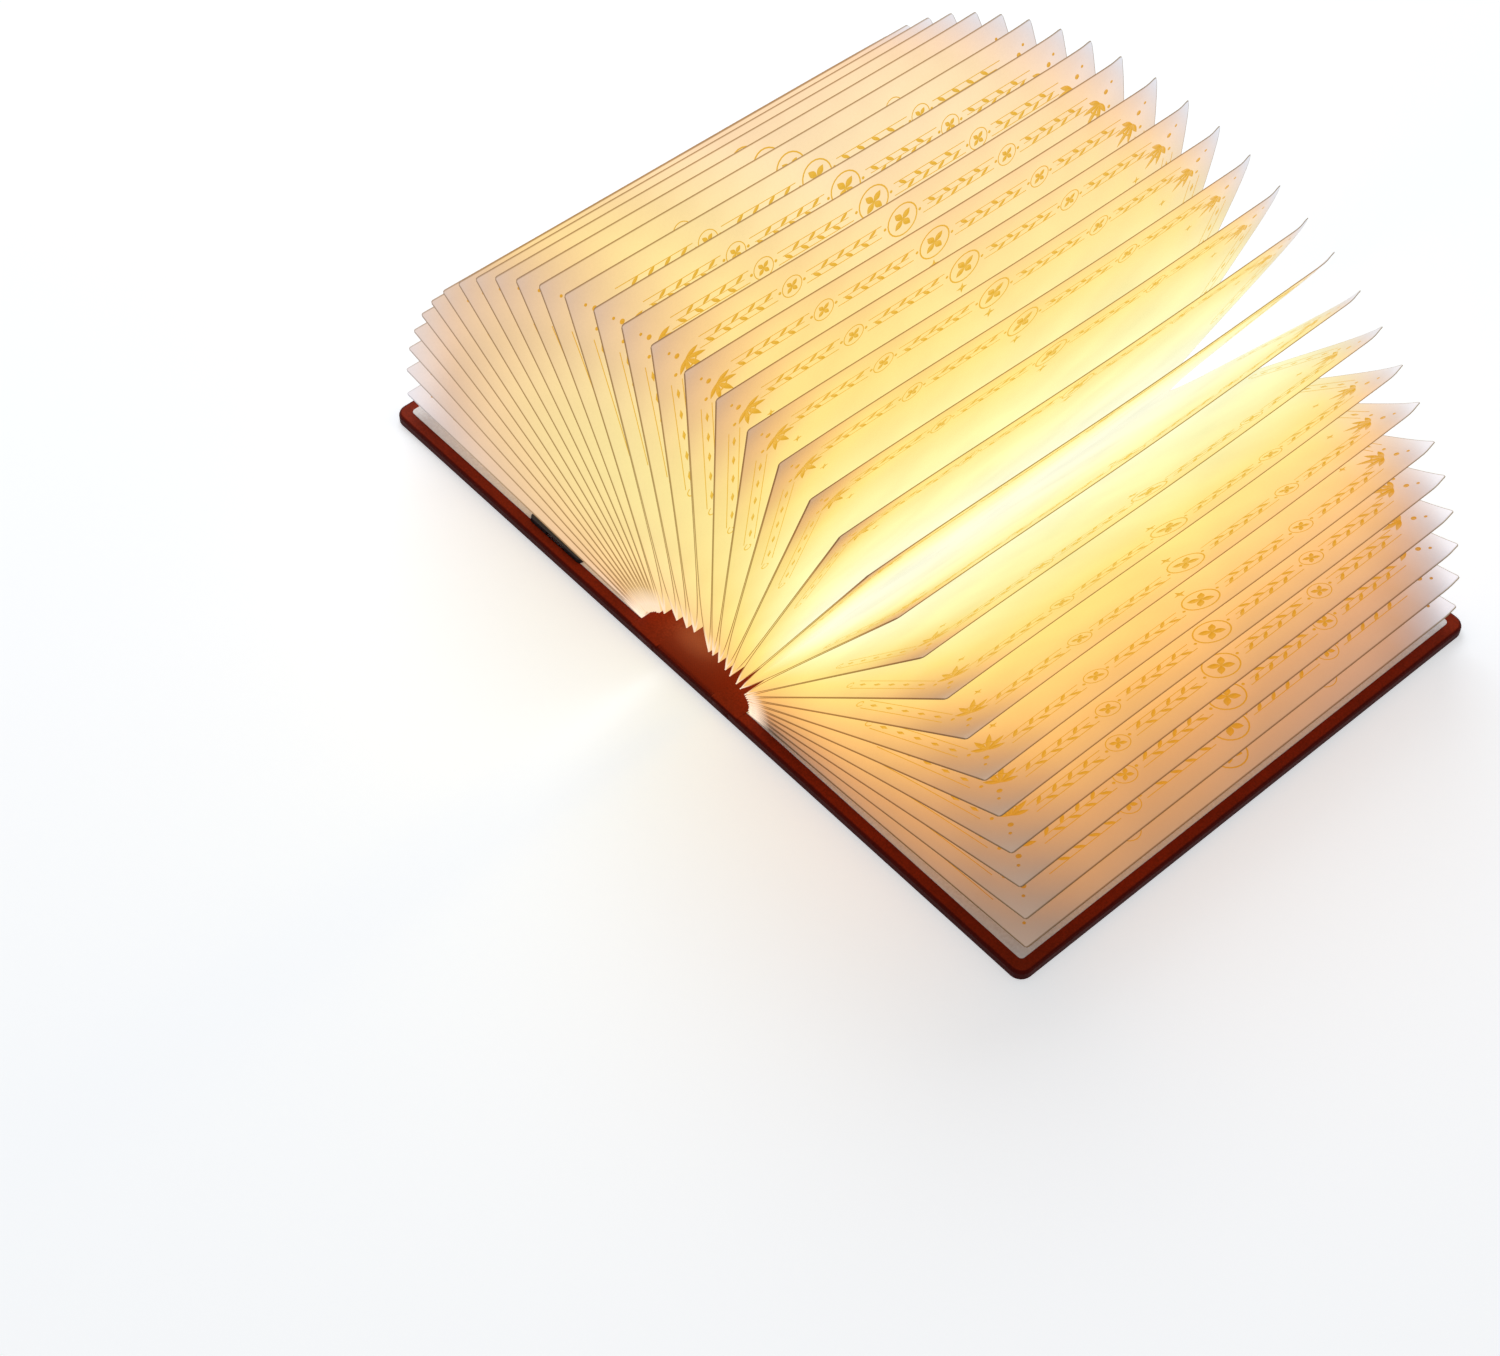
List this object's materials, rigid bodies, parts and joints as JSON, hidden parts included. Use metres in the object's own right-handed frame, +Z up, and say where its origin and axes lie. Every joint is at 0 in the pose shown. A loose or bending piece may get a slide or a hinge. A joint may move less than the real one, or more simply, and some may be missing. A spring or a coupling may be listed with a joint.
{
  "type": "folding book lamp",
  "caption": "Table lamp shaped as a hard-cover book: opened flat, a fan of folded paper leaves stands over a light bar on the spine; closed, it is a book.",
  "frame": {"origin": "middle of the underside of the open lamp, at table level", "axes": "+X from the front cover to the back cover, +Y from the tail to the head of the book, +Z up out of the pages"},
  "size_m": [0.324, 0.215, 0.145],
  "materials": {
    "leatherette": "matte embossed grain, foil stamped",
    "grey_board": "uncoated",
    "lining_cloth": "matte",
    "endpaper": "matte",
    "leaf_paper": "matte, translucent",
    "white_plastic": "moulded satin",
    "opal_plastic": "frosted, translucent",
    "black_plastic": "moulded fine texture",
    "circuit_board": "solder mask",
    "lamp_board": "white solder mask",
    "cell_foil": "laminated foil",
    "port_steel": "drawn and plated",
    "nickel": "nickel plated",
    "chip_resin": "moulded resin",
    "lead_sleeve": "extruded",
    "port_rubber": "moulded"
  },
  "bodies": {
    "back_cover": {"back_cover_wrap": "leatherette", "back_cover_board": "grey_board", "back_endpaper": "endpaper", "back_magnet": "nickel", "switch_magnet": "nickel"},
    "spine": {"spine_wrap": "leatherette", "spine_board": "grey_board", "spine_lining": "lining_cloth", "lamp_tray": "white_plastic", "lamp_battery": "cell_foil", "lamp_board": "lamp_board", "lamp_lens": "opal_plastic", "head_end_cap": "white_plastic", "tail_end_cap": "white_plastic", "lamp_lead": "lead_sleeve"},
    "front_cover": {"front_cover_wrap": "leatherette", "front_cover_board": "grey_board", "front_endpaper": "endpaper", "front_magnet": "nickel", "power_case": "black_plastic", "power_lid": "black_plastic", "charge_board": "circuit_board", "usb_c_port": "port_steel", "hall_sensor": "chip_resin", "port_cover": "port_rubber", "power_lead": "lead_sleeve"},
    "leaf_01": {"leaf_01": "leaf_paper"},
    "leaf_02": {"leaf_02": "leaf_paper"},
    "leaf_03": {"leaf_03": "leaf_paper"},
    "leaf_04": {"leaf_04": "leaf_paper"},
    "leaf_05": {"leaf_05": "leaf_paper"},
    "leaf_06": {"leaf_06": "leaf_paper"},
    "leaf_07": {"leaf_07": "leaf_paper"},
    "leaf_08": {"leaf_08": "leaf_paper"},
    "leaf_09": {"leaf_09": "leaf_paper"},
    "leaf_10": {"leaf_10": "leaf_paper"},
    "leaf_11": {"leaf_11": "leaf_paper"},
    "leaf_12": {"leaf_12": "leaf_paper"},
    "leaf_13": {"leaf_13": "leaf_paper"},
    "leaf_14": {"leaf_14": "leaf_paper"},
    "leaf_15": {"leaf_15": "leaf_paper"},
    "leaf_16": {"leaf_16": "leaf_paper"},
    "leaf_17": {"leaf_17": "leaf_paper"},
    "leaf_18": {"leaf_18": "leaf_paper"},
    "leaf_19": {"leaf_19": "leaf_paper"},
    "leaf_20": {"leaf_20": "leaf_paper"},
    "leaf_21": {"leaf_21": "leaf_paper"},
    "leaf_22": {"leaf_22": "leaf_paper"},
    "leaf_23": {"leaf_23": "leaf_paper"},
    "leaf_24": {"leaf_24": "leaf_paper"},
    "leaf_25": {"leaf_25": "leaf_paper"},
    "leaf_26": {"leaf_26": "leaf_paper"},
    "leaf_27": {"leaf_27": "leaf_paper"},
    "leaf_28": {"leaf_28": "leaf_paper"},
    "leaf_29": {"leaf_29": "leaf_paper"},
    "leaf_30": {"leaf_30": "leaf_paper"},
    "leaf_31": {"leaf_31": "leaf_paper"},
    "leaf_32": {"leaf_32": "leaf_paper"},
    "leaf_33": {"leaf_33": "leaf_paper"}
  },
  "joints": [
    {"name": "spine_fold", "type": "hinge", "parent": "back_cover", "child": "spine", "pos_m": [0.02, 0, 0], "axis": [0, 1, 0], "range_deg": [0, 90]},
    {"name": "front_cover_fold", "type": "hinge", "parent": "spine", "child": "front_cover", "pos_m": [-0.02, 0, 0], "axis": [0, 1, 0], "range_deg": [0, 90]},
    {"name": "leaf_01_fold", "type": "hinge", "parent": "spine", "child": "leaf_01", "pos_m": [-0.0178, 0, -0.00008], "axis": [0, 1, 0], "range_deg": [0, 86.7]},
    {"name": "leaf_02_fold", "type": "hinge", "parent": "spine", "child": "leaf_02", "pos_m": [-0.01791, 0, -0.00015], "axis": [0, 1, 0], "range_deg": [0, 81.28]},
    {"name": "leaf_03_fold", "type": "hinge", "parent": "spine", "child": "leaf_03", "pos_m": [-0.01762, 0, -0.00006], "axis": [0, 1, 0], "range_deg": [0, 75.86]},
    {"name": "leaf_04_fold", "type": "hinge", "parent": "spine", "child": "leaf_04", "pos_m": [-0.01711, 0, 0.00003], "axis": [0, 1, 0], "range_deg": [0, 70.44]},
    {"name": "leaf_05_fold", "type": "hinge", "parent": "spine", "child": "leaf_05", "pos_m": [-0.0165, 0, 0.00009], "axis": [0, 1, 0], "range_deg": [0, 65.03]},
    {"name": "leaf_06_fold", "type": "hinge", "parent": "spine", "child": "leaf_06", "pos_m": [-0.01585, 0, 0.00012], "axis": [0, 1, 0], "range_deg": [0, 59.61]},
    {"name": "leaf_07_fold", "type": "hinge", "parent": "spine", "child": "leaf_07", "pos_m": [-0.01521, 0, 0.00011], "axis": [0, 1, 0], "range_deg": [0, 54.19]},
    {"name": "leaf_08_fold", "type": "hinge", "parent": "spine", "child": "leaf_08", "pos_m": [-0.01463, 0, 0.00007], "axis": [0, 1, 0], "range_deg": [0, 48.77]},
    {"name": "leaf_09_fold", "type": "hinge", "parent": "spine", "child": "leaf_09", "pos_m": [-0.01414, 0, -0.00001], "axis": [0, 1, 0], "range_deg": [0, 43.35]},
    {"name": "leaf_10_fold", "type": "hinge", "parent": "spine", "child": "leaf_10", "pos_m": [-0.0138, 0, -0.00014], "axis": [0, 1, 0], "range_deg": [0, 37.93]},
    {"name": "leaf_11_fold", "type": "hinge", "parent": "spine", "child": "leaf_11", "pos_m": [-0.01371, 0, -0.00032], "axis": [0, 1, 0], "range_deg": [0, 32.51]},
    {"name": "leaf_12_fold", "type": "hinge", "parent": "spine", "child": "leaf_12", "pos_m": [-0.01402, 0, -0.00059], "axis": [0, 1, 0], "range_deg": [0, 27.09]},
    {"name": "leaf_13_fold", "type": "hinge", "parent": "spine", "child": "leaf_13", "pos_m": [-0.01504, 0, -0.001], "axis": [0, 1, 0], "range_deg": [0, 21.68]},
    {"name": "leaf_14_fold", "type": "hinge", "parent": "spine", "child": "leaf_14", "pos_m": [-0.01751, 0, -0.0017], "axis": [0, 1, 0], "range_deg": [0, 16.26]},
    {"name": "leaf_15_fold", "type": "hinge", "parent": "spine", "child": "leaf_15", "pos_m": [-0.02358, 0, -0.00311], "axis": [0, 1, 0], "range_deg": [0, 10.84]},
    {"name": "leaf_16_fold", "type": "hinge", "parent": "spine", "child": "leaf_16", "pos_m": [-0.04411, 0, -0.00734], "axis": [0, 1, 0], "range_deg": [0, 5.42]},
    {"name": "leaf_17_fold", "type": "slide", "parent": "spine", "child": "leaf_17", "axis": [0.1915, 0, -0.9815], "range_m": [0, 0.00418]},
    {"name": "leaf_18_fold", "type": "hinge", "parent": "spine", "child": "leaf_18", "pos_m": [0.04491, 0, 0.00956], "axis": [0, 1, 0], "range_deg": [-5.42, 0]},
    {"name": "leaf_19_fold", "type": "hinge", "parent": "spine", "child": "leaf_19", "pos_m": [0.02438, 0, 0.00532], "axis": [0, 1, 0], "range_deg": [-10.84, 0]},
    {"name": "leaf_20_fold", "type": "hinge", "parent": "spine", "child": "leaf_20", "pos_m": [0.01831, 0, 0.0039], "axis": [0, 1, 0], "range_deg": [-16.26, 0]},
    {"name": "leaf_21_fold", "type": "hinge", "parent": "spine", "child": "leaf_21", "pos_m": [0.01584, 0, 0.00318], "axis": [0, 1, 0], "range_deg": [-21.68, 0]},
    {"name": "leaf_22_fold", "type": "hinge", "parent": "spine", "child": "leaf_22", "pos_m": [0.01482, 0, 0.00273], "axis": [0, 1, 0], "range_deg": [-27.09, 0]},
    {"name": "leaf_23_fold", "type": "hinge", "parent": "spine", "child": "leaf_23", "pos_m": [0.01451, 0, 0.00242], "axis": [0, 1, 0], "range_deg": [-32.51, 0]},
    {"name": "leaf_24_fold", "type": "hinge", "parent": "spine", "child": "leaf_24", "pos_m": [0.0146, 0, 0.00219], "axis": [0, 1, 0], "range_deg": [-37.93, 0]},
    {"name": "leaf_25_fold", "type": "hinge", "parent": "spine", "child": "leaf_25", "pos_m": [0.01494, 0, 0.002], "axis": [0, 1, 0], "range_deg": [-43.35, 0]},
    {"name": "leaf_26_fold", "type": "hinge", "parent": "spine", "child": "leaf_26", "pos_m": [0.01543, 0, 0.00183], "axis": [0, 1, 0], "range_deg": [-48.77, 0]},
    {"name": "leaf_27_fold", "type": "hinge", "parent": "spine", "child": "leaf_27", "pos_m": [0.01601, 0, 0.00167], "axis": [0, 1, 0], "range_deg": [-54.19, 0]},
    {"name": "leaf_28_fold", "type": "hinge", "parent": "spine", "child": "leaf_28", "pos_m": [0.01665, 0, 0.00151], "axis": [0, 1, 0], "range_deg": [-59.61, 0]},
    {"name": "leaf_29_fold", "type": "hinge", "parent": "spine", "child": "leaf_29", "pos_m": [0.0173, 0, 0.00135], "axis": [0, 1, 0], "range_deg": [-65.03, 0]},
    {"name": "leaf_30_fold", "type": "hinge", "parent": "spine", "child": "leaf_30", "pos_m": [0.01791, 0, 0.00116], "axis": [0, 1, 0], "range_deg": [-70.44, 0]},
    {"name": "leaf_31_fold", "type": "hinge", "parent": "spine", "child": "leaf_31", "pos_m": [0.01842, 0, 0.00096], "axis": [0, 1, 0], "range_deg": [-75.86, 0]},
    {"name": "leaf_32_fold", "type": "hinge", "parent": "spine", "child": "leaf_32", "pos_m": [0.01871, 0, 0.00078], "axis": [0, 1, 0], "range_deg": [-81.28, 0]},
    {"name": "leaf_33_fold", "type": "hinge", "parent": "spine", "child": "leaf_33", "pos_m": [0.0186, 0, 0.00076], "axis": [0, 1, 0], "range_deg": [-86.7, 0]}
  ],
  "couplings": [
    {"joint": "front_cover_fold", "follows": "spine_fold", "ratio": 1},
    {"joint": "leaf_01_fold", "follows": "spine_fold", "ratio": 0.96333},
    {"joint": "leaf_02_fold", "follows": "spine_fold", "ratio": 0.90312},
    {"joint": "leaf_03_fold", "follows": "spine_fold", "ratio": 0.84292},
    {"joint": "leaf_04_fold", "follows": "spine_fold", "ratio": 0.78271},
    {"joint": "leaf_05_fold", "follows": "spine_fold", "ratio": 0.7225},
    {"joint": "leaf_06_fold", "follows": "spine_fold", "ratio": 0.66229},
    {"joint": "leaf_07_fold", "follows": "spine_fold", "ratio": 0.60208},
    {"joint": "leaf_08_fold", "follows": "spine_fold", "ratio": 0.54187},
    {"joint": "leaf_09_fold", "follows": "spine_fold", "ratio": 0.48167},
    {"joint": "leaf_10_fold", "follows": "spine_fold", "ratio": 0.42146},
    {"joint": "leaf_11_fold", "follows": "spine_fold", "ratio": 0.36125},
    {"joint": "leaf_12_fold", "follows": "spine_fold", "ratio": 0.30104},
    {"joint": "leaf_13_fold", "follows": "spine_fold", "ratio": 0.24083},
    {"joint": "leaf_14_fold", "follows": "spine_fold", "ratio": 0.18063},
    {"joint": "leaf_15_fold", "follows": "spine_fold", "ratio": 0.12042},
    {"joint": "leaf_16_fold", "follows": "spine_fold", "ratio": 0.060208},
    {"joint": "leaf_17_fold", "follows": "spine_fold", "m_per_rad": 0.0026594},
    {"joint": "leaf_18_fold", "follows": "spine_fold", "ratio": -0.060208},
    {"joint": "leaf_19_fold", "follows": "spine_fold", "ratio": -0.12042},
    {"joint": "leaf_20_fold", "follows": "spine_fold", "ratio": -0.18063},
    {"joint": "leaf_21_fold", "follows": "spine_fold", "ratio": -0.24083},
    {"joint": "leaf_22_fold", "follows": "spine_fold", "ratio": -0.30104},
    {"joint": "leaf_23_fold", "follows": "spine_fold", "ratio": -0.36125},
    {"joint": "leaf_24_fold", "follows": "spine_fold", "ratio": -0.42146},
    {"joint": "leaf_25_fold", "follows": "spine_fold", "ratio": -0.48167},
    {"joint": "leaf_26_fold", "follows": "spine_fold", "ratio": -0.54187},
    {"joint": "leaf_27_fold", "follows": "spine_fold", "ratio": -0.60208},
    {"joint": "leaf_28_fold", "follows": "spine_fold", "ratio": -0.66229},
    {"joint": "leaf_29_fold", "follows": "spine_fold", "ratio": -0.7225},
    {"joint": "leaf_30_fold", "follows": "spine_fold", "ratio": -0.78271},
    {"joint": "leaf_31_fold", "follows": "spine_fold", "ratio": -0.84292},
    {"joint": "leaf_32_fold", "follows": "spine_fold", "ratio": -0.90312},
    {"joint": "leaf_33_fold", "follows": "spine_fold", "ratio": -0.96333}
  ]
}
